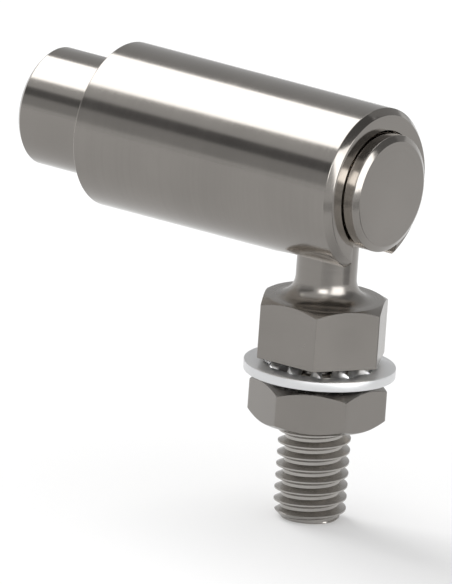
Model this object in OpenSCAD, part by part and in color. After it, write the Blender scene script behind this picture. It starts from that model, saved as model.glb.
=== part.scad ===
// Quick-release ball joint, all in stainless steel.
// A round barrel screws onto a control rod at its rear. A ball stud drops into its cross
// hole from below, and a sprung sleeve slides over the hole, so that the flanks of its slot
// close under the ball and hold it in.
// Millimetres. The origin is the centre of the rear thread's mouth, +X runs along the barrel
// to its nose, and the stud hangs down along -Z.

/* [Barrel] */
// Diameter of the barrel
barrel_d = 7.94; // [7.6:0.01:8.3]
// From the rear face to the stud's axis
stud_x = 23.31; // [22:0.01:30]
// From the stud's axis to the nose's flat end
nose_l = 4.81; // [4.4:0.01:7]
// Chamfer on both ends of the barrel
barrel_edge = 0.35; // [0.1:0.05:0.5]
// Thread in the rear end, over its crests' roots
rear_thread_d = 4.83; // [4:0.01:5]
// Depth of the rear thread
rear_thread_l = 12; // [8:0.1:14]
// Countersink at the rear thread's mouth
rear_sink = 0.35; // [0.1:0.05:0.5]

/* [Sleeve] */
// Room for the spring, from the sleeve's bore out to its wall
spring_room = 0.915; // [0.82:0.005:1.2]
// Wall of the sleeve outside that room
cup_wall = 0.6; // [0.4:0.01:1]
// Length of barrel that shows behind the sleeve, which is also how far it slides back
sleeve_travel = 5.88; // [5.82:0.01:6]
// How far the nose stands out of the sleeve
nose_show = 1.09; // [0.5:0.01:1.6]
// Chamfer round the front of the sleeve
sleeve_edge = 0.42; // [0.2:0.01:0.6]
// Broken edge round the rear of the sleeve
sleeve_rear_edge = 0.12; // [0.05:0.01:0.3]
// Width of the slot under the nose
slot_w = 4.8; // [4.6:0.01:4.85]
// From the stud's axis back to the slot's round end
slot_reach = 2.95; // [2.85:0.01:3.4]
// Wall between the slot's round end and the spring's shoulder
land_wall = 1.1; // [0.8:0.01:1.4]

/* [Collar, ring and spring] */
// Length of the collar pressed into the sleeve's rear end
collar_l = 1.6; // [1.2:0.05:2]
// Thickness of the retaining ring
ring_t = 0.8; // [0.6:0.05:1]
// Depth of the ring's groove in the barrel
groove_h = 0.47; // [0.3:0.01:0.6]
// Opening in the retaining ring
ring_gap = 2.6; // [1.5:0.1:4]
// Wire of the spring
spring_wire = 0.7; // [0.5:0.01:0.72]
// Turns of the spring, with its two closed ends
spring_turns = 7; // [6:0.5:7]
// Turns that lie closed at each end of the spring
closed_turns = 1; // [1:0.25:1.5]
// Rise of a closed turn, as a share of the wire
closed_rise = 1.04; // [1.02:0.01:1.1]

/* [Ball stud] */
// Diameter of the ball
ball_d = 6.35; // [6.2:0.01:6.4]
// Diameter of the neck
neck_d = 4.06; // [3.8:0.01:4.1]
// Fillet between the neck and the hexagon
neck_fillet = 1.4; // [0.8:0.05:1.5]
// From the barrel's axis down to the hexagon
hex_drop = 8.08; // [8:0.01:10]
// Hexagon, across its flats
hex_af = 8; // [7.6:0.01:9]
// Height of the hexagon
hex_h = 4.01; // [3:0.01:6]
// Thread of the stud, over its crests
thread_d = 4.83; // [4.5:0.01:4.9]
// Length of the stud below the hexagon
thread_l = 11.11; // [8.5:0.01:16]
// Chamfer on the stud's end
thread_tip = 0.55; // [0.3:0.05:0.8]
// Length of the relief between the hexagon and the thread
relief_l = 0.9; // [0.5:0.05:1.2]
// Depth of the relief
relief_h = 0.4; // [0.2:0.05:0.6]

/* [Washer and nut] */
// Outside diameter of the lock washer
washer_d = 10.1; // [9.4:0.05:11]
// Thickness of the lock washer
washer_t = 0.6; // [0.4:0.05:0.7]
// Circle that the washer's teeth grow from
tooth_root_d = 7.4; // [7:0.05:7.8]
// Circle that the tips of the teeth leave open
tooth_tip_d = 5; // [4.96:0.01:5.2]
// Teeth in the lock washer
teeth = 12; // [8:1:12]
// Width of a tooth at its root
tooth_w = 1.75; // [1.2:0.05:1.8]
// Width of a tooth at its tip
tooth_tip_w = 1.05; // [0.7:0.05:1.2]
// Twist of a tooth out of the washer's plane
tooth_twist = 45; // [25:1:50]
// Nut, across its flats
nut_af = 8; // [7.6:0.01:9]
// Height of the nut
nut_h = 2.75; // [2.2:0.01:4]
// Countersink at both ends of the nut's thread
nut_sink = 0.25; // [0.1:0.05:0.4]

/* [Clearances] */
// Sleeve and collar on the barrel, at each side
slide_gap = 0.065; // [0.03:0.005:0.09]
// Ball in its seat, all round
seat_gap = 0.05; // [0.03:0.01:0.08]
// Ball above the flanks of the slot
lock_gap = 0.03; // [0.02:0.01:0.06]
// Between pieces that only touch
touch_gap = 0.02; // [0.01:0.01:0.04]
// Ring in its groove, on each face
groove_gap = 0.03; // [0.02:0.01:0.05]
// Thread of the nut on the stud, at each side
thread_gap = 0.02; // [0.01:0.01:0.04]

/* [Hidden] */
$fn = 96;

// How far a cutting tool runs past the face that it cuts
past = 1;
// Depth by which a fillet runs into its two faces, which gives its ends a clean edge
crease = 0.01;
// Flank angle of the hexagons' turned chamfers
hex_bevel = 30;
// Half of the point angle of the drill for the rear thread
drill_half = 59;

barrel_r = barrel_d / 2;
barrel_l = stud_x + nose_l;
bore_r = barrel_r + slide_gap;
cup_r = bore_r + spring_room;
sleeve_r = cup_r + cup_wall;
sleeve_x = sleeve_travel;
sleeve_end = barrel_l - nose_show;
slot_r = slot_w / 2;
slot_mid = stud_x - slot_reach + slot_r;
shoulder_x = stud_x - slot_reach - land_wall;

// The ring stops the collar, and with it the sleeve, where the slot's flanks sit round the neck
ring_x = sleeve_x + collar_l + touch_gap;
ring_r = cup_r - slide_gap;
groove_r = barrel_r - groove_h;
spring_x = ring_x + ring_t + touch_gap;
spring_l = shoulder_x - touch_gap - spring_x;
spring_r = (barrel_r + cup_r) / 2;
open_turns = spring_turns - 2 * closed_turns;
closed_lift = spring_wire * closed_rise;
open_lift = (spring_l - spring_wire - 2 * closed_turns * closed_lift) / open_turns;

// The ball rests just above the slot's flanks, which are narrower than it is
ball_r = ball_d / 2;
flank_z = -sqrt(bore_r * bore_r - slot_r * slot_r);
ball_z = flank_z + sqrt(pow(ball_r + lock_gap, 2) - slot_r * slot_r);
neck_r = neck_d / 2;
hex_z = -hex_drop;
seat_z = hex_z - hex_h;
thread_r = thread_d / 2;
tip_z = seat_z - thread_l;

// A twisted tooth stands out of the washer by this much on both of its faces
tooth_rise = (tooth_w * sin(tooth_twist) + washer_t * cos(tooth_twist)) / 2;
washer_z = seat_z - touch_gap - tooth_rise;
nut_top = washer_z - tooth_rise - touch_gap;

// Steps of the spring's sweep, round a turn and round its wire
turn_steps = 20;
wire_sides = 8;

// Turns a shape drawn along +Z to run along +X
module along_x() {
    rotate([0, 90, 0]) children();
}

// Half outline of a bar with a chamfer on each end, for rotate_extrude
module bar_outline(radius, length, low_edge, high_edge) {
    polygon([
        [0, 0],
        [radius - low_edge, 0],
        [radius, low_edge],
        [radius, length - high_edge],
        [radius - high_edge, length],
        [0, length]
    ]);
}

// Barrel: a turned bar with a tapped rear end, a ring groove and the ball's round-ended hole
module barrel() {
    drill_tip = rear_thread_d / 2 / tan(drill_half);
    color("#9c9992")
    difference() {
        along_x() rotate_extrude() bar_outline(barrel_r, barrel_l, barrel_edge, barrel_edge);
        along_x() {
            translate([0, 0, -past]) cylinder(d = rear_thread_d, h = rear_thread_l + past);
            translate([0, 0, rear_thread_l]) cylinder(d1 = rear_thread_d, d2 = 0, h = drill_tip);
            translate([0, 0, -past]) cylinder(
                r1 = rear_thread_d / 2 + rear_sink + past,
                r2 = rear_thread_d / 2,
                h = rear_sink + past
            );
            ring_groove();
        }
        translate([stud_x, 0, ball_z]) {
            sphere(r = ball_r + seat_gap);
            translate([0, 0, -barrel_r - past]) cylinder(r = ball_r + seat_gap, h = barrel_r + past);
        }
    }
}

// Cutter for the groove that the retaining ring snaps into
module ring_groove() {
    translate([0, 0, ring_x - groove_gap])
    difference() {
        cylinder(r = barrel_r + past, h = ring_t + 2 * groove_gap);
        translate([0, 0, -past]) cylinder(r = groove_r, h = ring_t + 2 * past);
    }
}

// Sleeve: a tube whose front land runs on the barrel, opened below by the stud's slot
module sleeve() {
    color("#a5a29b")
    difference() {
        along_x()
        translate([0, 0, sleeve_x])
        rotate_extrude()
        bar_outline(sleeve_r, sleeve_end - sleeve_x, sleeve_rear_edge, sleeve_edge);
        along_x() {
            cylinder(r = bore_r, h = barrel_l);
            cylinder(r = cup_r, h = shoulder_x);
        }
        sleeve_slot();
    }
}

// Cutter for the slot: open at the front, round at the back, only through the lower wall
module sleeve_slot() {
    translate([slot_mid, 0, -sleeve_r - past]) {
        cylinder(r = slot_r, h = sleeve_r + past);
        translate([0, -slot_r, 0]) cube([barrel_l - slot_mid, slot_w, sleeve_r + past]);
    }
}

// Collar pressed into the sleeve's rear end, which meets the retaining ring
module sleeve_collar() {
    color("#8f8c86")
    along_x()
    translate([0, 0, sleeve_x])
    difference() {
        cylinder(r = cup_r - touch_gap / 2, h = collar_l);
        translate([0, 0, -past]) cylinder(r = bore_r, h = collar_l + 2 * past);
    }
}

// Retaining ring: an open snap ring in the barrel's groove, with its opening on top
module retaining_ring() {
    color("#6f6d69")
    along_x()
    translate([0, 0, ring_x])
    difference() {
        cylinder(r = ring_r, h = ring_t);
        translate([0, 0, -past]) cylinder(r = groove_r + touch_gap, h = ring_t + 2 * past);
        translate([-ring_r - past, -ring_gap / 2, -past]) cube([ring_r + past, ring_gap, ring_t + 2 * past]);
    }
}

// Height of the spring's wire along its axis after a number of turns, closed at both ends
function coil_rise(turn) =
    closed_lift * min(turn, closed_turns)
    + open_lift * max(0, min(turn - closed_turns, open_turns))
    + closed_lift * max(0, turn - closed_turns - open_turns);

// One point of the wire's skin, where step counts round the coil and side round the wire
function coil_point(step, side) =
    let (
        turn = step / turn_steps,
        around = 360 * side / wire_sides,
        reach = spring_r + spring_wire / 2 * cos(around),
        along = coil_rise(turn) + spring_wire / 2 * sin(around)
    )
    [reach * cos(360 * turn), reach * sin(360 * turn), along];

// Compression spring, swept turn by turn between the ring and the sleeve's shoulder
module spring() {
    last = round(spring_turns * turn_steps);
    skin = [
        for (step = [0 : last], side = [0 : wire_sides - 1])
            coil_point(step, side)
    ];
    near_end = [for (side = [0 : wire_sides - 1]) wire_sides - 1 - side];
    far_end = [for (side = [0 : wire_sides - 1]) last * wire_sides + side];
    walls = [
        for (step = [0 : last - 1], side = [0 : wire_sides - 1])
            let (
                here = step * wire_sides,
                next = here + wire_sides,
                turned = (side + 1) % wire_sides
            )
            each [
                [here + side, here + turned, next + side],
                [here + turned, next + turned, next + side]
            ]
    ];
    color("#b4b2ac")
    along_x()
    translate([0, 0, spring_x + spring_wire / 2])
    polyhedron(points = skin, faces = concat([near_end], walls, [far_end]));
}

// Half outline of the ball, the neck and the fillet above the hexagon
module neck_outline() {
    intersection() {
        translate([0, ball_z]) circle(r = ball_r);
        translate([0, ball_z - ball_r]) square([ball_r, ball_d]);
    }
    translate([0, hex_z]) square([neck_r, ball_z - hex_z]);
    difference() {
        translate([0, hex_z]) square([neck_r + neck_fillet, neck_fillet]);
        translate([neck_r + neck_fillet - crease, hex_z + neck_fillet - crease]) circle(r = neck_fillet);
    }
}

// Hexagonal prism standing on z = 0, with its corners turned off above and, if asked, below
module turned_hexagon(across, height, both_ends) {
    flat_r = across / 2;
    corner_r = flat_r / cos(30);
    drop = (corner_r - flat_r) * tan(hex_bevel);
    intersection() {
        cylinder(r = corner_r, h = height, $fn = 6);
        rotate_extrude()
        polygon([
            [0, 0],
            [both_ends ? flat_r : corner_r + past, 0],
            [both_ends ? corner_r : corner_r + past, both_ends ? drop : 0],
            [both_ends ? corner_r : corner_r + past, height - drop - (both_ends ? 0 : past * tan(hex_bevel))],
            [flat_r, height],
            [0, height]
        ]);
    }
}

// Ball stud: ball, neck, hexagon and threaded shank, turned from one bar
module ball_stud() {
    color("#a29f98") {
        translate([stud_x, 0, 0]) rotate_extrude() neck_outline();
        translate([stud_x, 0, seat_z]) turned_hexagon(hex_af, hex_h, false);
        translate([stud_x, 0, 0])
        rotate_extrude()
        polygon([
            [0, seat_z],
            [thread_r - relief_h, seat_z],
            [thread_r - relief_h, seat_z - relief_l],
            [thread_r, seat_z - relief_l - relief_h],
            [thread_r, tip_z + thread_tip],
            [thread_r - thread_tip, tip_z],
            [0, tip_z]
        ]);
    }
}

// One washer tooth along +X, tapering inwards, twisted about its own length
module washer_tooth() {
    rotate([tooth_twist, 0, 0])
    translate([0, 0, -washer_t / 2])
    linear_extrude(washer_t)
    polygon([
        [tooth_tip_d / 2, -tooth_tip_w / 2],
        [tooth_root_d / 2, -tooth_w / 2],
        [tooth_root_d / 2 + washer_t, -tooth_w / 2],
        [tooth_root_d / 2 + washer_t, tooth_w / 2],
        [tooth_root_d / 2, tooth_w / 2],
        [tooth_tip_d / 2, tooth_tip_w / 2]
    ]);
}

// Lock washer: a flat rim with twisted teeth inside, which bite the hexagon and the nut
module lock_washer() {
    color("#d8d8d6")
    translate([stud_x, 0, washer_z]) {
        translate([0, 0, -washer_t / 2])
        difference() {
            cylinder(d = washer_d, h = washer_t);
            translate([0, 0, -past]) cylinder(d = tooth_root_d, h = washer_t + 2 * past);
        }
        for (tooth = [0 : teeth - 1])
            rotate([0, 0, 360 * tooth / teeth]) washer_tooth();
    }
}

// Thin hexagon nut, chamfered on both faces
module hex_nut() {
    hole_r = thread_r + thread_gap;
    color("#98958f")
    translate([stud_x, 0, nut_top - nut_h])
    difference() {
        rotate([0, 0, 30]) turned_hexagon(nut_af, nut_h, true);
        translate([0, 0, -past]) cylinder(r = hole_r, h = nut_h + 2 * past);
        translate([0, 0, -past]) cylinder(r1 = hole_r + nut_sink + past, r2 = hole_r, h = nut_sink + past);
        translate([0, 0, nut_h - nut_sink])
        cylinder(r1 = hole_r, r2 = hole_r + nut_sink + past, h = nut_sink + past);
    }
}

barrel();
sleeve();
sleeve_collar();
spring();
retaining_ring();
ball_stud();
lock_washer();
hex_nut();
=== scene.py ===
# %% [markdown]
# # Quick-release ball joint
#
# A ball joint lets a control rod push and pull a lever while the two swing freely. The barrel
# screws onto the rod. The ball of the stud sits in a hole under the barrel's nose, and a sprung
# sleeve slides forward over that hole, so the ball can't drop out until the sleeve is drawn back.
#
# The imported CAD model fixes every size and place. This lesson dresses it: it gives the joint real
# screw threads, a twisted lock washer, a wound spring, softened edges and turned steel.

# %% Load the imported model
import math

import bmesh
import bpy
import numpy as np
from mathutils import Matrix, Vector


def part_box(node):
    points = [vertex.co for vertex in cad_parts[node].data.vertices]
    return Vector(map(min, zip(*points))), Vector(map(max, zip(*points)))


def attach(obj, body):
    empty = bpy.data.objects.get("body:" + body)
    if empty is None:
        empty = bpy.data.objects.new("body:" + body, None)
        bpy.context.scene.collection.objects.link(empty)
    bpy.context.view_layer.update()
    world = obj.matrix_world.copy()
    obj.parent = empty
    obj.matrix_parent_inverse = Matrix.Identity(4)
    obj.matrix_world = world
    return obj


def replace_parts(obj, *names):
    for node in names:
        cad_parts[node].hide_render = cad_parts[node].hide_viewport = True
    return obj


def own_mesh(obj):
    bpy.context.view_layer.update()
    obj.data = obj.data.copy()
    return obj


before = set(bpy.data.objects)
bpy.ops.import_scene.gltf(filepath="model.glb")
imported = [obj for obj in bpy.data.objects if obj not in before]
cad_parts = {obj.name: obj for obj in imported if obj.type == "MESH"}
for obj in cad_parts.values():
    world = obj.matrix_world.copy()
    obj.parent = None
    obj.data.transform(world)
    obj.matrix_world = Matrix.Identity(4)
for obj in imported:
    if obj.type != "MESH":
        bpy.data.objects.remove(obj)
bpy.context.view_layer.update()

mm = 0.001
print("CAD nodes:", ", ".join(sorted(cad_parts)))

# %% [markdown]
# ## Places taken from the frame
#
# Each node's box says where it is, so most places are read and not typed. The barrel lies along X
# with its rear face at zero. The stud's axis is upright, through the middle of the stud's box.

# %% Read the main places
barrel_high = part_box("barrel")[1]
sleeve_low, sleeve_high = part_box("sleeve")
stud_low, stud_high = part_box("ball_stud")
nut_low, nut_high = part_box("hex_nut")
washer_low, washer_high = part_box("lock_washer")
spring_low, spring_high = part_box("spring")
collar_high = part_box("sleeve_collar")[1]
ring_low, ring_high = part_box("retaining_ring")

stud_x = (stud_low.x + stud_high.x) / 2
barrel_r = barrel_high.z
sleeve_r = sleeve_high.z
floor_z = stud_low.z
print(f"stud axis {stud_x / mm:.2f}, barrel radius {barrel_r / mm:.2f},"
      f" sleeve radius {sleeve_r / mm:.2f}, floor {floor_z / mm:.2f} mm")

# %% [markdown]
# ## The camera
#
# The picture shows no perspective: the joint's long edges stay parallel. So the camera is
# orthographic. It stands beside the joint and ahead of its nose, looks a little down and is rolled
# by four degrees. The picture's height in real millimetres sets its scale.

# %% Stand the camera where the picture was taken from
view_azimuth = math.radians(35.52)
view_elevation = math.radians(15.25)
view_roll = math.radians(4.195)
aim = Vector((19.207, -5.505, -7.691)) * mm
picture_height = 38.627 * mm
stand_off = 0.3
nearest_seen = 0.01

back = Vector((
    math.sin(view_azimuth) * math.cos(view_elevation),
    -math.cos(view_azimuth) * math.cos(view_elevation),
    math.sin(view_elevation),
))
level_right = Vector((math.cos(view_azimuth), math.sin(view_azimuth), 0))
level_up = back.cross(level_right)
right = level_right * math.cos(view_roll) + level_up * math.sin(view_roll)
up = back.cross(right)

camera = bpy.data.objects.new("camera", bpy.data.cameras.new("camera"))
bpy.context.scene.collection.objects.link(camera)
camera.data.type = "ORTHO"
camera.data.sensor_fit = "VERTICAL"
camera.data.ortho_scale = picture_height
camera.data.clip_start = nearest_seen
camera.matrix_world = Matrix.Translation(aim + back * stand_off) @ Matrix(
    (right, up, back)).transposed().to_4x4()
bpy.context.scene.camera = camera
print("camera at, mm:", [round(x / mm, 1) for x in camera.location])

# %% [markdown]
# ## Building node trees
#
# Both the shapes and the finishes are drawn as node trees. A few small helpers keep those cells
# short. The first adds a node and fills its inputs, and the second adds a sum.

# %% Helpers for node trees
def put(tree, kind, inputs=None, **settings):
    """Adds a node, sets its settings, and fills or links its inputs by name or place."""
    made = tree.nodes.new(kind)
    for setting, value in settings.items():
        setattr(made, setting, value)
    for place, value in (inputs or {}).items():
        if isinstance(value, bpy.types.NodeSocket):
            tree.links.new(value, made.inputs[place])
        else:
            made.inputs[place].default_value = value
    return made


def sum_of(tree, operation, first, second=0.0):
    """One Math node's result."""
    return put(tree, "ShaderNodeMath", {0: first, 1: second}, operation=operation).outputs[0]


def seen_straight_or_mirrored(tree):
    """One where the camera or a mirror looks, also through glass; zero where light only falls."""
    rays = put(tree, "ShaderNodeLightPath").outputs
    looked_at = sum_of(tree, "MAXIMUM", rays["Is Camera Ray"], rays["Is Glossy Ray"])
    return sum_of(tree, "MAXIMUM", looked_at, rays["Is Transmission Ray"])


def new_finish(name):
    """An empty material, its tree and its Principled shader."""
    material = bpy.data.materials.new(name)
    material.use_nodes = True
    shader = material.node_tree.nodes["Principled BSDF"]
    return material, material.node_tree, shader


print("helpers: put, sum_of, seen_straight_or_mirrored, new_finish")


# %% [markdown]
# ## Turned steel
#
# A lathe leaves fine rings. They run round the axis on the barrel's wall and as circles on its flat
# nose. Distance from the axis and distance along it, taken together, give a noise that is constant
# round each ring. The same pattern serves pieces on the barrel's axis and pieces on the stud's
# axis: only the centre and the direction change.
#
# The steel's own tone is set for the white room round it, which is paler than the studio in the
# picture. A piece that is seen in another one's mirror would come out too dark that way, so there,
# through Is Glossy Ray, the steel's colour is scaled up: a painted brightening of its reflections
# in other pieces, not a property of the steel.

# %% The turned finish
ring_spacing = 0.11 * mm
ring_depth = 0.0004 * mm
ring_strength = 0.5
stain_size = 5 * mm
ring_share, stain_share = 0.35, 0.65
pattern_low, pattern_high = 0.3, 0.7
tone_spread = 0.07
roughness_fall, roughness_rise = 0.03, 0.04


def turned_steel(name, tone, roughness, centre, lies_along_x, mirror_brightening=1.0):
    """Metal with rings round its axis, a slow drift of tone, a fine change of gloss, and colour
    painted brighter where another piece mirrors it.
    """
    material, tree, shader = new_finish(name)
    place = put(tree, "ShaderNodeTexCoord").outputs["Object"]
    local = put(tree, "ShaderNodeMapping", {
        "Vector": place,
        "Location": tuple(-x for x in centre),
    }).outputs[0]
    axes = put(tree, "ShaderNodeSeparateXYZ", {0: local})
    along, side, lift = (axes.outputs[i] for i in ((0, 1, 2) if lies_along_x else (2, 0, 1)))
    reach = sum_of(tree, "SQRT", sum_of(
        tree, "ADD", sum_of(tree, "MULTIPLY", side, side), sum_of(tree, "MULTIPLY", lift, lift)))
    lathe = put(tree, "ShaderNodeCombineXYZ", {0: along, 1: reach}).outputs[0]
    rings = put(tree, "ShaderNodeTexNoise", {
        "Vector": lathe,
        "Scale": 1 / ring_spacing,
        "Detail": 3.0,
        "Roughness": 0.6,
    }).outputs["Fac"]
    drift = put(tree, "ShaderNodeTexNoise", {
        "Vector": local,
        "Scale": 1 / stain_size,
        "Detail": 4.0,
    }).outputs["Fac"]
    blend = sum_of(tree, "ADD", sum_of(tree, "MULTIPLY", rings, ring_share),
                   sum_of(tree, "MULTIPLY", drift, stain_share))
    ramp = put(tree, "ShaderNodeValToRGB", {"Fac": blend})
    for end, position, share in zip(
            ramp.color_ramp.elements, (pattern_low, pattern_high), (1 - tone_spread, 1 + tone_spread)):
        end.position = position
        end.color = (*(c * share for c in tone), 1)
    # Painted light: where another piece mirrors this one, the colour is scaled up, which brightens
    # that reflection.
    mirrored = put(tree, "ShaderNodeLightPath").outputs["Is Glossy Ray"]
    mirror_brightening_scale = put(tree, "ShaderNodeMapRange", {
        "Value": mirrored,
        "To Min": 1.0,
        "To Max": mirror_brightening,
    }).outputs[0]
    toned = put(tree, "ShaderNodeVectorMath", {
        0: ramp.outputs["Color"],
        "Scale": mirror_brightening_scale,
    }, operation="SCALE").outputs[0]
    roughness_range = put(tree, "ShaderNodeMapRange", {
        "Value": blend,
        "From Min": pattern_low,
        "From Max": pattern_high,
        "To Min": roughness - roughness_fall,
        "To Max": roughness + roughness_rise,
    }).outputs[0]
    bump = put(tree, "ShaderNodeBump", {
        "Height": rings,
        "Strength": ring_strength,
        "Distance": ring_depth,
    }).outputs[0]
    tree.links.new(toned, shader.inputs["Base Color"])
    tree.links.new(roughness_range, shader.inputs["Roughness"])
    tree.links.new(bump, shader.inputs["Normal"])
    shader.inputs["Metallic"].default_value = 1.0
    return material


steel_tone = (0.226, 0.213, 0.198)
# Painted light: how many times brighter the steel's colour is painted where another piece mirrors it.
painted_mirror_brightening = 2.6
on_barrel = {"centre": (0, 0, 0), "lies_along_x": True}
on_stud = {"centre": (stud_x, 0, 0), "lies_along_x": False}
barrel_steel = turned_steel(
    "turned_stainless_barrel", steel_tone, roughness=0.14, mirror_brightening=painted_mirror_brightening, **on_barrel)
stud_steel = turned_steel(
    "turned_stainless_stud", steel_tone, roughness=0.25, mirror_brightening=painted_mirror_brightening, **on_stud)
# Painted light: the thread gets a lighter colour than the rest of the stud, which lightens the shade
# between its turns.
lightened_thread_steel = turned_steel("thread_steel_painted_lighter", (0.37, 0.355, 0.335), roughness=0.24, **on_stud)
bright_steel = turned_steel("bright_stainless_washer", (0.64, 0.645, 0.65), roughness=0.4, **on_stud)
drawn_wire = turned_steel("drawn_spring_wire", (0.36, 0.35, 0.33), roughness=0.2, **on_barrel)
dull_ring = turned_steel("dull_ring_steel", (0.17, 0.165, 0.16), roughness=0.3, **on_barrel)
print("finishes:", ", ".join(finish.name for finish in (
    barrel_steel, stud_steel, lightened_thread_steel, bright_steel, drawn_wire, dull_ring)))

# %% [markdown]
# ## Skins over rings
#
# Every turned piece is a skin over rings of points. A turned ring is a circle, but a ring may also
# follow a hexagon, so one helper serves the barrel, the stud and the nut. Corners are eased first:
# real edges are broken with a file, and the thin bright line on them is what the eye reads as metal.

# %% Helpers for skins
round_steps = 160
no_gap = 0.0002 * mm


def eased(corners, steps=4):
    """Rounds the corners of an outline. Each corner is (radius, along, easing)."""
    line = []
    count = len(corners)
    for i, (radius, along, ease) in enumerate(corners):
        here = np.array((radius, along))
        if ease <= 0:
            line.append(here)
            continue
        before = np.array(corners[i - 1][:2]) - here
        after = np.array(corners[(i + 1) % count][:2]) - here
        start = here + before / np.linalg.norm(before) * ease
        end = here + after / np.linalg.norm(after) * ease
        for t in np.linspace(0, 1, steps + 1):
            line.append((1 - t) ** 2 * start + 2 * t * (1 - t) * here + t * t * end)
    return np.array(line)


def arc(centre_radius, centre_along, radius, first, last, steps):
    """Points of an arc in the outline's plane, with its angles in degrees."""
    angles = np.radians(np.linspace(first, last, steps))
    return np.column_stack((
        centre_radius + radius * np.cos(angles), centre_along + radius * np.sin(angles)))


def skin(name, rings, is_tube, material):
    """A closed skin over an array of rings, each a row of points."""
    count, around = rings.shape[:2]
    faces = [
        (i * around + j, i * around + (j + 1) % around,
         (i + 1) % count * around + (j + 1) % around, (i + 1) % count * around + j)
        for i in range(count if is_tube else count - 1) for j in range(around)
    ]
    mesh = bpy.data.meshes.new(name)
    mesh.from_pydata(rings.reshape(-1, 3).tolist(), [], faces)
    tidy_mesh(mesh)
    piece = bpy.data.objects.new(name, mesh)
    bpy.context.scene.collection.objects.link(piece)
    mesh.materials.append(material)
    return piece


def tidy_mesh(mesh):
    """Joins points that coincide and turns every face outwards."""
    form = bmesh.new()
    form.from_mesh(mesh)
    bmesh.ops.remove_doubles(form, verts=form.verts, dist=no_gap)
    bmesh.ops.dissolve_degenerate(form, edges=form.edges, dist=no_gap)
    face_outwards(form)
    form.to_mesh(mesh)
    form.free()


def face_outwards(form):
    """Turns every face outwards: a closed form then has a positive volume."""
    bmesh.ops.recalc_face_normals(form, faces=form.faces)
    if form.calc_volume(signed=True) < 0:
        bmesh.ops.reverse_faces(form, faces=form.faces)


def turned(name, outline, material, is_tube=False, upright_at=None):
    """Turns an outline of (radius, along) about the barrel's axis, or about an upright axis."""
    angles = np.linspace(0, 2 * math.pi, round_steps, endpoint=False)
    radius, along = outline[:, 0][:, None], outline[:, 1][:, None]
    flat = np.ones_like(angles)[None, :]
    if upright_at is None:
        rings = np.stack((along * flat, radius * np.cos(angles), radius * np.sin(angles)), axis=2)
    else:
        rings = np.stack((
            upright_at + radius * np.cos(angles), radius * np.sin(angles), along * flat), axis=2)
    return skin(name, rings, is_tube, material)


print("each turned ring has", round_steps, "points")

# %% [markdown]
# ## Cutting and joining
#
# Holes and slots are cut as a machinist cuts them: a solid cutter is taken out of the piece with a
# Boolean modifier, and the result is made a plain mesh. A Bevel modifier can break the sharp edges
# that a cut leaves. Then the smooth shading is set: edges that bend sharply stay crisp, and a
# Weighted Normal modifier keeps large faces flat to the light.

# %% Helpers for cuts and shading
crisp_angle = math.radians(28)
bevel_angle = math.radians(50)


def settled(piece):
    """Turns a piece and its modifiers into a plain mesh."""
    view = bpy.context.evaluated_depsgraph_get()
    mesh = bpy.data.meshes.new_from_object(piece.evaluated_get(view))
    piece.modifiers.clear()
    piece.data = mesh
    return piece


def combined(piece, tool, operation):
    """Cuts a tool out of a piece, or joins it on, and deletes the tool."""
    step = piece.modifiers.new(operation, "BOOLEAN")
    step.operation = operation
    step.solver = "EXACT"
    step.material_mode = "TRANSFER"
    step.object = tool
    settled(piece)
    bpy.data.objects.remove(tool)
    return piece


def edges_broken(piece, name, width):
    """Takes the sharpness off the edges that bend a lot."""
    step = piece.modifiers.new(name, "BEVEL")
    step.width = width
    step.segments = 2
    step.limit_method = "ANGLE"
    step.angle_limit = bevel_angle
    return settled(piece)


def finished(piece):
    """Smooth shading with crisp edges, and normals weighted by the size of the faces."""
    mesh = piece.data
    mesh.polygons.foreach_set("use_smooth", np.ones(len(mesh.polygons), bool))
    mesh.set_sharp_from_angle(angle=crisp_angle)
    step = piece.modifiers.new("weighted_normal", "WEIGHTED_NORMAL")
    step.keep_sharp = True
    settled(piece)
    form = bmesh.new()
    form.from_mesh(piece.data)
    open_edges = sum(not edge.is_manifold for edge in form.edges)
    volume = form.calc_volume(signed=True) / mm ** 3
    form.free()
    places = np.array([v.co for v in piece.data.vertices])
    print(f"{piece.name}: {len(piece.data.polygons)} faces, {open_edges} open edges,"
          f" {volume:.1f} mm3, {np.round(np.ptp(places, axis=0) / mm, 2)} mm")
    return piece


print(f"edges that bend more than {math.degrees(crisp_angle):.0f} degrees stay crisp")

# %% [markdown]
# ## Screw threads
#
# A thread is one ridge that winds round the rod, so its shape follows a rule: the angle and the
# height grow together, one pitch to a turn. A flat grid is wound into that helix by Geometry
# Nodes. Its long side follows the turns and its short side the ridge, from root to crest and back.
# Neighbouring turns share an edge, and merging them closes the surface. A limit on the radius cuts
# the run-out at one end and the chamfer at the other. The same tree also makes the taps that cut
# the threads inside the nut and the barrel.

# %% The thread's node tree
def node_sheet(name, inputs):
    """A Geometry Nodes tree with named inputs and one geometry output."""
    tree = bpy.data.node_groups.new(name, "GeometryNodeTree")
    tree.interface.new_socket("Geometry", in_out="OUTPUT", socket_type="NodeSocketGeometry")
    for title, kind in inputs.items():
        tree.interface.new_socket(title, in_out="INPUT", socket_type=kind)
    return tree, put(tree, "NodeGroupInput").outputs


def close_sheet(tree, geometry, material):
    """Ends a tree in Realize Instances and Set Material."""
    real = put(tree, "GeometryNodeRealizeInstances", {0: geometry}).outputs[0]
    dressed = put(tree, "GeometryNodeSetMaterial", {"Geometry": real, "Material": material})
    put(tree, "NodeGroupOutput", {0: dressed.outputs[0]})


def grown(name, tree, sizes):
    """A new piece grown by a tree, with its inputs set by identifier, as a plain mesh."""
    piece = bpy.data.objects.new(name, bpy.data.meshes.new(name))
    bpy.context.scene.collection.objects.link(piece)
    step = piece.modifiers.new("nodes", "NODES")
    step.node_group = tree
    for socket in tree.interface.items_tree:
        if socket.in_out == "INPUT":
            step[socket.identifier] = sizes[socket.name]
    return settled(piece)


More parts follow.
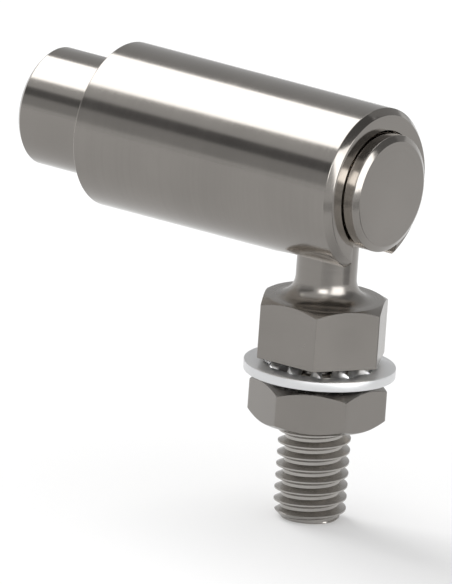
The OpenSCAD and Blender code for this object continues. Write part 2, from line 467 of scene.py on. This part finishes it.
number, whole, finish_socket = "NodeSocketFloat", "NodeSocketInt", "NodeSocketMaterial"
thread_tree, given = node_sheet("screw_thread", {
    "Pitch": number, "Crest": number, "Root": number, "Top": number, "Turns": whole,
    "Steps": whole, "Phase": number, "High Limit": number, "High Radius": number,
    "Low Limit": number, "Low Radius": number, "Material": finish_socket})
ridge_steps = 16
crest_half, flank_end = 1 / 16, 6 / 16
weld = 0.0005 * mm
t = thread_tree
columns = sum_of(t, "ADD", sum_of(t, "MULTIPLY", given["Turns"], given["Steps"]), 1)
grid = put(t, "GeometryNodeMeshGrid", {
    "Size X": 1.0, "Size Y": 1.0, "Vertices X": columns, "Vertices Y": ridge_steps + 1})
spot = put(t, "ShaderNodeSeparateXYZ", {0: put(t, "GeometryNodeInputPosition").outputs[0]})
turn = sum_of(t, "MULTIPLY", sum_of(t, "ADD", spot.outputs[0], 0.5), given["Turns"])
across = sum_of(t, "ADD", spot.outputs[1], 0.5)
drop = sum_of(t, "MULTIPLY", given["Pitch"], sum_of(t, "ADD", turn, across))
height = sum_of(t, "SUBTRACT", given["Top"], drop)
angle = sum_of(t, "SUBTRACT", given["Phase"], sum_of(t, "MULTIPLY", turn, 2 * math.pi))
ridge = put(t, "ShaderNodeMapRange", {
    "Value": sum_of(t, "ABSOLUTE", spot.outputs[1]), "From Min": crest_half,
    "From Max": flank_end, "To Min": given["Crest"], "To Max": given["Root"]}).outputs[0]
above = sum_of(t, "MAXIMUM", sum_of(t, "SUBTRACT", given["High Limit"], height), 0)
below = sum_of(t, "MAXIMUM", sum_of(t, "SUBTRACT", height, given["Low Limit"]), 0)
limit = sum_of(t, "MINIMUM", sum_of(t, "ADD", above, given["High Radius"]),
               sum_of(t, "ADD", below, given["Low Radius"]))
radius = sum_of(t, "MINIMUM", ridge, limit)
wound = put(t, "ShaderNodeCombineXYZ", {
    0: sum_of(t, "MULTIPLY", radius, sum_of(t, "COSINE", angle)),
    1: sum_of(t, "MULTIPLY", radius, sum_of(t, "SINE", angle)), 2: height}).outputs[0]
helix = put(t, "GeometryNodeSetPosition", {"Geometry": grid.outputs[0], "Position": wound})
joined = put(t, "GeometryNodeMergeByDistance", {
    "Geometry": helix.outputs[0], "Distance": weld}).outputs[0]
close_sheet(t, joined, given["Material"])
print("thread tree:", len(t.nodes), "nodes")


# %% [markdown]
# The wound grid is open at its two ends. Two straight cuts trim it to length, and each cut is
# filled with a flat face, so the rod is a closed solid that can be joined on or used as a tap.

# %% Threaded rods
thread_pitch = 25.4 / 32 * mm
thread_steps = 72
crest_on_the_left = -18.08 * mm
left_of_view = view_azimuth + math.pi
cut_slack = 1e-7
rim_slack = 1e-6


def threaded_rod(name, top, foot, crest, root, top_radius, foot_radius, material, at_x=stud_x):
    """An upright threaded rod from top down to foot, on the stud's axis unless told otherwise."""
    spare = math.ceil((top - crest_on_the_left) / thread_pitch) + 1
    start = crest_on_the_left + thread_pitch * (spare + 0.5)
    turns = math.ceil((start - foot) / thread_pitch) + 1
    rod = grown(name, thread_tree, {
        "Pitch": thread_pitch, "Crest": crest, "Root": root, "Top": start, "Turns": turns,
        "Steps": thread_steps, "Phase": left_of_view, "High Limit": top, "High Radius": top_radius,
        "Low Limit": foot, "Low Radius": foot_radius, "Material": material})
    form = bmesh.new()
    form.from_mesh(rod.data)
    for level, side in ((top, 1), (foot, -1)):
        whole_form = form.verts[:] + form.edges[:] + form.faces[:]
        bmesh.ops.bisect_plane(form, geom=whole_form, dist=cut_slack, plane_co=(0, 0, level),
                               plane_no=(0, 0, side), clear_outer=True)
        rim = [e for e in form.edges if e.is_boundary
               and all(abs(v.co.z - level) < rim_slack for v in e.verts)]
        bmesh.ops.contextual_create(form, geom=rim)
    bmesh.ops.remove_doubles(form, verts=form.verts, dist=weld)
    face_outwards(form)
    bmesh.ops.translate(form, verts=form.verts, vec=(at_x, 0, 0))
    open_edges = sum(not edge.is_manifold for edge in form.edges)
    print(f"{name}: {len(form.faces)} faces, {open_edges} open edges,"
          f" {form.calc_volume(signed=True) / mm ** 3:.1f} mm3")
    form.to_mesh(rod.data)
    form.free()
    return rod


print(f"thread pitch {thread_pitch / mm:.3f} mm, {thread_steps} steps to a turn")

# %% [markdown]
# ## Ball stud
#
# Ball, neck, hexagon and shank are turned from one hexagon bar. The outline is the same all round,
# but on the hexagon each direction reaches a different distance, which is what makes the turned
# chamfer cut its curved line into the six flats. So each ring is made with the reach of its own
# directions, and the whole stud above the thread is one skin.

# %% Reach of a hexagon
flat_steps = 18


def hexagon_directions(first_corner, softness):
    """Directions round a hexagon, close together near its corners, in degrees."""
    near = softness * np.array((-1, -0.5, 0, 0.5, 1))
    between = np.linspace(softness, 60 - softness, flat_steps + 1)[1:-1]
    sixth = np.concatenate((near, between))
    return np.concatenate([sixth + first_corner + 60 * i for i in range(6)])


def hexagon_reach(directions, first_corner, across_flats, corner_ease):
    """Distance to the side of a hexagon with slightly rounded corners."""
    flat = across_flats / 2
    centre = (flat - corner_ease) / math.cos(math.pi / 6)
    off = np.radians((directions - first_corner + 30) % 60 - 30)
    edge = math.atan2(corner_ease / 2, centre + corner_ease * math.cos(math.pi / 6))
    side = flat / np.cos(math.pi / 6 - np.abs(off))
    bow = centre * np.cos(off) + np.sqrt(
        np.maximum(corner_ease ** 2 - (centre * np.sin(off)) ** 2, 0))
    return np.where(np.abs(off) < edge, bow, side)


ball_r = 3.175 * mm
neck_r = 2.03 * mm
neck_fillet = 1.4 * mm
hexagon_top = -8.08 * mm
hexagon_foot = -12.09 * mm
hexagon_across = 8 * mm
corner_ease = 0.15 * mm
corner_spread = 0.9
shank_r = 2.415 * mm
thread_root = 1.93 * mm
relief_r = 2.015 * mm
relief_foot = hexagon_foot - 0.9 * mm
chamfer_slope = math.tan(math.radians(30))
chamfer_circle = hexagon_across / 2 - 0.05 * mm
chamfer_in, chamfer_out, chamfer_drop = 0.03 * mm, 0.01 * mm, 0.008 * mm
fine_ease = 0.02 * mm
foot_ease = 0.03 * mm
relief_ease = 0.1 * mm
shank_lap = 0.4 * mm
tip_r = 1.865 * mm
ball_z = stud_high.z - ball_r
print(f"ball centre {ball_z / mm:.3f} mm, corners reach"
      f" {hexagon_reach(np.array([0.0]), 0, hexagon_across, corner_ease)[0] / mm:.3f} mm")


# %% Turn the stud above its thread
def upright_rings(outline, directions, reach, at_x):
    """Rings round an upright axis.

    A round ring has one radius. The others stand in from the hexagon by their radius, and a
    chamfer ring also drops the further out it reaches.
    """
    turn = np.radians(directions)
    rings = []
    for radius, along, kind in outline:
        distance = np.full_like(reach, radius) if kind == "round" else reach - radius
        level = np.full_like(reach, along)
        if kind == "chamfer":
            level = along - (distance - chamfer_circle) * chamfer_slope
        rings.append(np.column_stack((
            at_x + distance * np.cos(turn), distance * np.sin(turn), level)))
    return np.array(rings)


stud_directions = hexagon_directions(0, corner_spread)
stud_reach = hexagon_reach(stud_directions, 0, hexagon_across, corner_ease)
neck_meets_ball = math.degrees(math.acos(neck_r / ball_r))
ball_line = arc(0, ball_z, ball_r, 90, -neck_meets_ball, 40)
fillet_line = arc(neck_r + neck_fillet, hexagon_top + neck_fillet, neck_fillet, 180, 270, 14)
stud_outline = [(r, z, "round") for r, z in np.vstack((ball_line, fillet_line))]
stud_outline += [
    (chamfer_circle - chamfer_in, hexagon_top, "round"),
    (chamfer_circle + chamfer_out, hexagon_top - chamfer_drop, "round"),
    (fine_ease, hexagon_top, "chamfer"),
    (0, hexagon_top - fine_ease, "chamfer"),
    (0, hexagon_foot + foot_ease, "hexagon"),
    (foot_ease, hexagon_foot, "hexagon"),
    (relief_r + relief_ease, hexagon_foot, "round"),
    (relief_r, hexagon_foot - relief_ease, "round"),
    (relief_r, relief_foot, "round"),
    (0, relief_foot, "round"),
]
stud_rings = upright_rings(stud_outline, stud_directions, stud_reach, stud_x)
ball_stud = skin("ball_stud_dressed", stud_rings, False, stud_steel)
shank = threaded_rod("shank", relief_foot + shank_lap, stud_low.z, shank_r, thread_root,
                     relief_r - fine_ease, tip_r, lightened_thread_steel)
combined(ball_stud, shank, "UNION")
finished(ball_stud)
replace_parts(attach(ball_stud, "ball_stud"), "ball_stud")

# %% [markdown]
# ## Barrel
#
# The barrel is a bar turned to one diameter, with a chamfer at each end and a narrow groove for
# the retaining ring. Then it is drilled three times: the ball's round-ended seat from below, and
# from the rear a pilot hole and its thread.

# %% Turn and drill the barrel
nose_edge = 0.42 * mm
nose_edge_along = 0.25 * mm
rear_chamfer = 0.35 * mm
edge_ease = 0.04 * mm
groove_r = 3.5 * mm
groove_side = 0.03 * mm
seat_gap = 0.05 * mm
tap_crest = 2.415 * mm
tap_root = 1.985 * mm
drill_r = tap_root + 0.02 * mm
drill_point = math.radians(31)
tap_depth = 12 * mm
tap_short = 0.3 * mm
tap_tip_r = tap_root - 0.05 * mm
mouth_sink = 0.35 * mm
past = 1 * mm

barrel = turned("barrel_dressed", eased([
    (0, barrel_high.x, 0),
    (barrel_r - nose_edge, barrel_high.x, edge_ease),
    (barrel_r, barrel_high.x - nose_edge_along, edge_ease),
    (barrel_r, ring_high.x + groove_side, fine_ease),
    (groove_r, ring_high.x + groove_side, 0),
    (groove_r, ring_low.x - groove_side, 0),
    (barrel_r, ring_low.x - groove_side, fine_ease),
    (barrel_r, rear_chamfer, edge_ease),
    (barrel_r - rear_chamfer, 0, edge_ease),
    (0, 0, 0),
]), barrel_steel)
seat_r = ball_r + seat_gap
seat = turned("seat_cutter", np.vstack((
    arc(0, ball_z, seat_r, 90, 0, 24), [(seat_r, -sleeve_r - past), (0, -sleeve_r - past)],
)), barrel_steel, upright_at=stud_x)
combined(barrel, seat, "DIFFERENCE")
pilot = turned("pilot_cutter", np.array([
    (0, -past), (tap_crest + mouth_sink + past, -past), (drill_r, tap_crest + mouth_sink - drill_r),
    (drill_r, tap_depth), (0, tap_depth + drill_r * math.tan(drill_point)),
]), barrel_steel)
combined(barrel, pilot, "DIFFERENCE")
tap = threaded_rod("tap", past, tap_short - tap_depth, tap_crest, tap_root, tap_crest,
                   tap_tip_r, barrel_steel, at_x=0)
tap.data.transform(Matrix.Rotation(math.radians(-90), 4, "Y"))
combined(barrel, tap, "DIFFERENCE")
finished(barrel)
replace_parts(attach(barrel, "barrel"), "barrel")

# %% [markdown]
# ## Sleeve
#
# The sleeve is a tube with two bores: a close one at the front that runs on the barrel, and a wider
# one behind it for the spring. The close bore opens a touch at its mouth, which shows as the dark
# line round the nose. The slot is open at the front, so that the sleeve can pass over the neck. It
# flares where it meets the outside, and a Bevel modifier breaks the sharp edges.

# %% Turn and slot the sleeve
bore_r = 4.035 * mm
cup_r = collar_high.z + 0.01 * mm
shoulder_x = spring_high.x + 0.02 * mm
front_edge = 0.42 * mm
rear_edge = 0.12 * mm
slot_half = 2.4 * mm
slot_reach = 2.95 * mm
slot_flare = -4.65 * mm
slot_break = 0.07 * mm
slot_mid = stud_x - slot_reach + slot_half
nose_gap = 0.07 * mm
nose_gap_straight = 0.22 * mm
nose_gap_depth = 0.30 * mm
rear_ease = 0.03 * mm

sleeve = turned("sleeve_dressed", eased([
    (cup_r, sleeve_low.x, rear_ease),
    (sleeve_r - rear_edge, sleeve_low.x, rear_ease),
    (sleeve_r, sleeve_low.x + rear_edge, rear_ease),
    (sleeve_r, sleeve_high.x - front_edge, edge_ease),
    (sleeve_r - front_edge, sleeve_high.x, edge_ease),
    (bore_r + nose_gap, sleeve_high.x, fine_ease),
    (bore_r + nose_gap, sleeve_high.x - nose_gap_straight, fine_ease),
    (bore_r, sleeve_high.x - nose_gap_depth, fine_ease),
    (bore_r, shoulder_x, rear_ease),
    (cup_r, shoulder_x, 0),
]), barrel_steel, is_tube=True)


def slot_ring(level, flare):
    """The slot's outline at one height, wider by the flare."""
    half = slot_half + flare
    plan = np.vstack((arc(slot_mid, 0, half, 90, 270, 33), [
        (sleeve_high.x + past, -half), (sleeve_high.x + past, half)]))
    return np.column_stack((plan, np.full(len(plan), level)))


slot_foot = -sleeve_r - past
slot_rings = np.array([
    slot_ring(slot_foot, slot_flare - slot_foot), slot_ring(slot_flare, 0), slot_ring(0, 0)])
slot_cutter = skin("slot_cutter", np.concatenate((
    np.broadcast_to(slot_rings[0].mean(0), slot_rings[:1].shape), slot_rings,
    np.broadcast_to(slot_rings[-1].mean(0), slot_rings[:1].shape))), False, barrel_steel)
combined(sleeve, slot_cutter, "DIFFERENCE")
edges_broken(sleeve, "broken_edges", slot_break)
finished(sleeve)
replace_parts(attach(sleeve, "sleeve"), "sleeve")

# %% [markdown]
# ## Collar and retaining ring
#
# Both are plain rings inside the sleeve and the CAD solids already have their true shape. They
# keep their meshes and only get a better finish through their material slots.

# %% Finish the two plain rings
for node, material in (("sleeve_collar", barrel_steel), ("retaining_ring", dull_ring)):
    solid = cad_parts[node]
    for place in solid.material_slots:
        place.material = material
    print(node, "finished with", material.name)

# %% [markdown]
# ## Spring
#
# A compression spring follows a rule too: its wire winds at an even pitch, except for one closed
# turn at each end that lies flat. The tree bends a straight line into that coil and sweeps a round
# wire along it.

# %% Wind the spring
spring_turns = 7
closed_turns = 1
closed_rise = 1.04
wire = 0.7 * mm
coil_steps, wire_steps = 48, 16
spring_tree, given = node_sheet("spring_coil", {
    "Coil Radius": number, "Wire": number, "Turns": number, "Closed": number,
    "Closed Rise": number, "Open Rise": number, "Start": number, "Points": whole,
    "Material": finish_socket})
t = spring_tree
straight = put(t, "GeometryNodeCurvePrimitiveLine", {"Start": (0, 0, 0), "End": (1, 0, 0)})
many = put(t, "GeometryNodeResampleCurve", {
    "Curve": straight.outputs[0], "Count": given["Points"]}).outputs[0]
spot = put(t, "ShaderNodeSeparateXYZ", {0: put(t, "GeometryNodeInputPosition").outputs[0]})
turn = sum_of(t, "MULTIPLY", spot.outputs[0], given["Turns"])
last_closed = sum_of(t, "SUBTRACT", given["Turns"], given["Closed"])
open_part = sum_of(t, "SUBTRACT", sum_of(t, "MINIMUM", sum_of(
    t, "MAXIMUM", turn, given["Closed"]), last_closed), given["Closed"])
shut_part = sum_of(t, "SUBTRACT", turn, open_part)
rise = sum_of(t, "ADD", sum_of(t, "MULTIPLY", open_part, given["Open Rise"]),
              sum_of(t, "MULTIPLY", shut_part, given["Closed Rise"]))
angle = sum_of(t, "MULTIPLY", turn, 2 * math.pi)
coil = put(t, "ShaderNodeCombineXYZ", {
    0: sum_of(t, "ADD", rise, given["Start"]),
    1: sum_of(t, "MULTIPLY", given["Coil Radius"], sum_of(t, "COSINE", angle)),
    2: sum_of(t, "MULTIPLY", given["Coil Radius"], sum_of(t, "SINE", angle))}).outputs[0]
path = put(t, "GeometryNodeSetPosition", {"Geometry": many, "Position": coil}).outputs[0]
section = put(t, "GeometryNodeCurvePrimitiveCircle", {
    "Resolution": wire_steps, "Radius": sum_of(t, "MULTIPLY", given["Wire"], 0.5)}).outputs[0]
swept = put(t, "GeometryNodeCurveToMesh", {
    "Curve": path, "Profile Curve": section, "Fill Caps": True}).outputs[0]
close_sheet(t, swept, given["Material"])

free_length = spring_high.x - spring_low.x
open_turns = spring_turns - 2 * closed_turns
open_rise = (free_length - wire - 2 * closed_turns * wire * closed_rise) / open_turns
spring = grown("spring_dressed", spring_tree, {
    "Coil Radius": spring_high.z - wire / 2, "Wire": wire, "Turns": spring_turns,
    "Closed": closed_turns, "Closed Rise": wire * closed_rise, "Open Rise": open_rise,
    "Start": spring_low.x + wire / 2, "Points": spring_turns * coil_steps + 1,
    "Material": drawn_wire})
tidy_mesh(spring.data)
finished(spring)
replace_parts(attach(spring, "spring"), "spring")
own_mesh(spring)

# %% [markdown]
# ## Lock washer
#
# The washer is stamped from sheet. Its twelve inner teeth are twisted out of the rim's plane, so
# that they bite the hexagon above and the nut below. One twelfth of the sheet is laid out flat and
# twisted in mesh code. Then a tree repeats it round the stud and merges the joints, and a Solidify
# modifier gives the sheet its thickness.

# %% Shape one twelfth of the washer
teeth = 12
sheet = 0.6 * mm
tooth_root = 3.7 * mm
tooth_tip = 2.5 * mm
tooth_half = 0.5 * mm
tip_half = 0.76 * mm
twist = math.radians(68)
twist_length = 0.5 * mm
stamped_edge = 0.05 * mm
sector_weld = 0.002 * mm
washer_z = (washer_low.z + washer_high.z) / 2
washer_r = washer_high.x - stud_x


def tooth_point(inwards, sideways):
    """A point of the twisted tooth, from its distance in from the root and its share of width."""
    depth = inwards * (tooth_root - tooth_tip)
    half = tooth_half + (tip_half - tooth_half) * inwards
    share = min(depth / twist_length, 1)
    turn = twist * share * share * (3 - 2 * share)
    return (tooth_root - depth, sideways * half * math.cos(turn), sideways * half * math.sin(turn))


tooth_columns, tooth_rows, rim_rows = 8, 10, 4
sector_half = math.pi / teeth
sides = np.linspace(-1, 1, tooth_columns + 1)
root_angles = np.arcsin(sides * tooth_half / tooth_root)
rim_angles = np.concatenate(([-sector_half], root_angles, [sector_half]))
points, faces = [], []
for radius in np.linspace(washer_r, tooth_root, rim_rows + 1):
    points += [(radius * math.cos(a), radius * math.sin(a), 0) for a in rim_angles]
width = len(rim_angles)
for i in range(rim_rows):
    for j in range(width - 1):
        a = i * width + j
        faces.append((a, a + 1, a + width + 1, a + width))
first_tooth_row = rim_rows * width + 1
before = list(range(first_tooth_row, first_tooth_row + tooth_columns + 1))
for row in range(1, tooth_rows + 1):
    after = list(range(len(points), len(points) + tooth_columns + 1))
    points += [tooth_point(row / tooth_rows, s) for s in sides]
    faces += [(before[j], before[j + 1], after[j + 1], after[j]) for j in range(tooth_columns)]
    before = after
twelfth = bpy.data.objects.new("washer_twelfth", bpy.data.meshes.new("washer_twelfth"))
twelfth.data.from_pydata(points, [], faces)
print("one twelfth:", len(faces), "faces")

# %% Repeat it round the stud
washer_tree, given = node_sheet("washer_teeth", {
    "Teeth": whole, "Twelfth": "NodeSocketObject", "Axis X": number, "Height": number,
    "Material": finish_socket})
t = washer_tree
shape = put(t, "GeometryNodeObjectInfo", {"Object": given["Twelfth"]}).outputs["Geometry"]
spots = put(t, "GeometryNodePoints", {"Count": given["Teeth"], "Position": (0, 0, 0)}).outputs[0]
step_angle = sum_of(t, "DIVIDE", 2 * math.pi, given["Teeth"])
own_angle = sum_of(t, "MULTIPLY", put(t, "GeometryNodeInputIndex").outputs[0], step_angle)
turn = put(t, "ShaderNodeCombineXYZ", {2: own_angle}).outputs[0]
ring_of = put(t, "GeometryNodeInstanceOnPoints", {
    "Points": spots, "Instance": shape, "Rotation": turn}).outputs[0]
shift = put(t, "ShaderNodeCombineXYZ", {0: given["Axis X"], 2: given["Height"]}).outputs[0]
placed = put(t, "GeometryNodeTransform", {"Geometry": put(
    t, "GeometryNodeRealizeInstances", {0: ring_of}).outputs[0], "Translation": shift}).outputs[0]
merged = put(t, "GeometryNodeMergeByDistance", {
    "Geometry": placed, "Distance": sector_weld}).outputs[0]
close_sheet(t, merged, given["Material"])
bpy.context.scene.collection.objects.link(twelfth)
lock_washer = grown("lock_washer_dressed", washer_tree, {
    "Teeth": teeth, "Twelfth": twelfth, "Axis X": stud_x, "Height": washer_z,
    "Material": bright_steel})
bpy.data.objects.remove(twelfth)
tidy_mesh(lock_washer.data)
thick = lock_washer.modifiers.new("sheet", "SOLIDIFY")
thick.thickness = sheet
thick.offset = 0
settled(lock_washer)
edges_broken(lock_washer, "stamped_edges", stamped_edge)
finished(lock_washer)
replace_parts(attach(lock_washer, "lock_washer"), "lock_washer")

# %% [markdown]
# ## Nut
#
# The nut is a thin hexagon with its corners turned off on both faces. Its blank is skinned like the
# stud's hexagon, with a drilled and countersunk hole, and then tapped with the thread tree, a touch
# larger than the stud's thread, so that the two screws match and never cut into each other.

# %% Turn and tap the nut
nut_first_corner = 30
nut_sink = 0.25 * mm
thread_room = 0.03 * mm
nut_directions = hexagon_directions(nut_first_corner, corner_spread)
nut_reach = hexagon_reach(nut_directions, nut_first_corner, hexagon_across, corner_ease)
nut_mid = (nut_low.z + nut_high.z) / 2
sink_r = shank_r + thread_room + nut_sink
upper_half = upright_rings([
    (drill_r, nut_high.z - (sink_r - drill_r), "round"),
    (sink_r, nut_high.z, "round"),
    (chamfer_circle, nut_high.z, "round"),
    (fine_ease, nut_high.z, "chamfer"),
    (0, nut_high.z - fine_ease, "chamfer"),
], nut_directions, nut_reach, stud_x)
lower_half = upper_half[::-1].copy()
lower_half[:, :, 2] = 2 * nut_mid - lower_half[:, :, 2]
hex_nut = skin("hex_nut_dressed", np.concatenate((upper_half, lower_half)), True, stud_steel)
nut_tap = threaded_rod("nut_tap", nut_high.z + past, nut_low.z - past, shank_r + thread_room,
                       tap_root, shank_r + thread_room, shank_r + thread_room, stud_steel)
combined(hex_nut, nut_tap, "DIFFERENCE")
finished(hex_nut)
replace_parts(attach(hex_nut, "ball_stud"), "hex_nut")

# %% [markdown]
# ## Floor
#
# The joint stands on a plain pale table. What the camera and the metal see of its paint is lifted
# a little, so that it meets the white background without a line while the joint's own shadow stays.

# %% Lay the floor
floor_half = 1.5
table_grey = 0.72
table_roughness = 0.9
floor_lift = 0.22
floor = bpy.data.objects.new("floor", bpy.data.meshes.new("floor"))
floor.data.from_pydata([
    (stud_x + a * floor_half, b * floor_half, floor_z)
    for a, b in ((-1, -1), (1, -1), (1, 1), (-1, 1))
], [], [(0, 1, 2, 3)])
bpy.context.scene.collection.objects.link(floor)
paint, tree, shader = new_finish("white_table")
shader.inputs["Base Color"].default_value = (table_grey, table_grey, table_grey, 1)
shader.inputs["Roughness"].default_value = table_roughness
shader.inputs["Specular IOR Level"].default_value = 0.0
shader.inputs["Emission Color"].default_value = (1, 1, 1, 1)
lift = sum_of(tree, "MULTIPLY", seen_straight_or_mirrored(tree), floor_lift)
tree.links.new(lift, shader.inputs["Emission Strength"])
floor.data.materials.append(paint)
print(f"floor {2 * floor_half:.0f} m wide, at {floor_z / mm:.2f} mm")

# %% [markdown]
# ## Light
#
# Metal shows what stands round it. Most of the room is white, so the steel shows its own tone. A
# wide lamp overhead and behind the sleeve draws the bright band along it. One in front of the nose
# lights the chamfers of sleeve and nose, and one at the side adds the second white spot under the
# neck. Cards beside the lamps give the dark lines next to the bright ones, which make the steel
# look hard. Only the metal sees these three lamps and the cards. A fourth lamp, far away and not
# mirrored by the metal, lights the floor and casts the shadow.
#
# Lamps and cards all face one point on the barrel's axis. Each is given by its direction from that
# point, its distance, its width and its height in metres, and then its brightness.

# %% Hang the lamps, the cards and the white room
target_share = 0.7
target = Vector((stud_x * target_share, 0, 0))
room_level = 0.735


def panel_place(direction, distance):
    """A place in a direction from the target, facing it, as a matrix."""
    way = Vector(direction).normalized()
    facing = way.to_track_quat("Z", "Y").to_matrix().to_4x4()
    return Matrix.Translation(target + way * distance) @ facing


def lamp(name, direction, distance, wide, tall, level, for_metal=True):
    """A soft rectangular lamp for the metal, or else for the floor; level is its face's brightness."""
    light = bpy.data.lights.new(name, "AREA")
    light.shape = "RECTANGLE"
    light.size, light.size_y = wide, tall
    light.energy = level * math.pi * wide * tall
    made = bpy.data.objects.new(name, light)
    bpy.context.scene.collection.objects.link(made)
    made.matrix_world = panel_place(direction, distance)
    made.visible_glossy, made.visible_diffuse = for_metal, not for_metal
    return made


def paper(name, grey):
    """Grey paper that looks equally bright from everywhere."""
    material, _, shader = new_finish(name)
    shader.inputs["Base Color"].default_value = (0, 0, 0, 1)
    shader.inputs["Specular IOR Level"].default_value = 0.0
    shader.inputs["Emission Color"].default_value = (1, 1, 1, 1)
    shader.inputs["Emission Strength"].default_value = grey
    return material


def card(name, direction, distance, wide, tall, grey):
    """A grey card that only reflections see."""
    place = panel_place(direction, distance)
    corners = ((-wide, -tall), (wide, -tall), (wide, tall), (-wide, tall))
    points = [place @ Vector((a / 2, b / 2, 0)) for a, b in corners]
    made = bpy.data.objects.new(name, bpy.data.meshes.new(name))
    made.data.from_pydata(points, [], [(0, 1, 2, 3)])
    made.data.materials.append(paper(name + "_paper", grey))
    bpy.context.scene.collection.objects.link(made)
    made.visible_camera = made.visible_diffuse = made.visible_shadow = False


overhead = lamp("overhead_lamp", (-0.56, -0.01, 0.828), 0.378, 0.335, 0.20, 4.4)
front = lamp("front_lamp", (0.947, -0.116, 0.301), 0.4, 0.323, 0.30, 4.4)
side = lamp("side_lamp", (0.45, -0.79, 0.42), 0.4, 0.20, 0.15, 5.6)
key = lamp("floor_lamp", (-0.77, 0.17, 0.62), 2.0, 1.2, 1.2, 6.7, for_metal=False)
card("dark_card_overhead", (0.659, 0.176, 0.731), 0.42, 0.42, 0.26, 0.22)
card("dark_card_left", (-0.56, -0.70, 0.44), 0.42, 0.5, 0.09, 0.22)
card("grey_card_left", (-0.57, -0.79, 0.22), 0.44, 0.5, 0.12, 0.65)
card("grey_card_behind", (-0.50, 0.70, 0.32), 0.44, 0.45, 0.40, 0.62)
card("dark_card_right", (0.652, 0.608, 0.454), 0.42, 0.257, 0.194, 0.3)
card("grey_card_right", (0.147, 0.835, 0.53), 0.42, 0.306, 0.306, 0.5)
card("dark_card_low", (0.868, 0.358, -0.345), 0.053, 0.026, 0.010, 0.3)
card("grey_card_low", (0.802, -0.521, -0.29), 0.068, 0.092, 0.014, 0.67)

world = bpy.data.worlds.new("white_room")
bpy.context.scene.world = world
world.use_nodes = True
tree = world.node_tree
strength = put(tree, "ShaderNodeMapRange", {
    "Value": seen_straight_or_mirrored(tree),
    "To Min": room_level,
    "To Max": 1.0,
}).outputs[0]
room = tree.nodes["Background"]
room.inputs["Color"].default_value = (1, 1, 1, 1)
tree.links.new(strength, room.inputs["Strength"])
bpy.context.scene.view_settings.view_transform = "Standard"
print("lamps:", overhead.name, front.name, side.name, key.name)
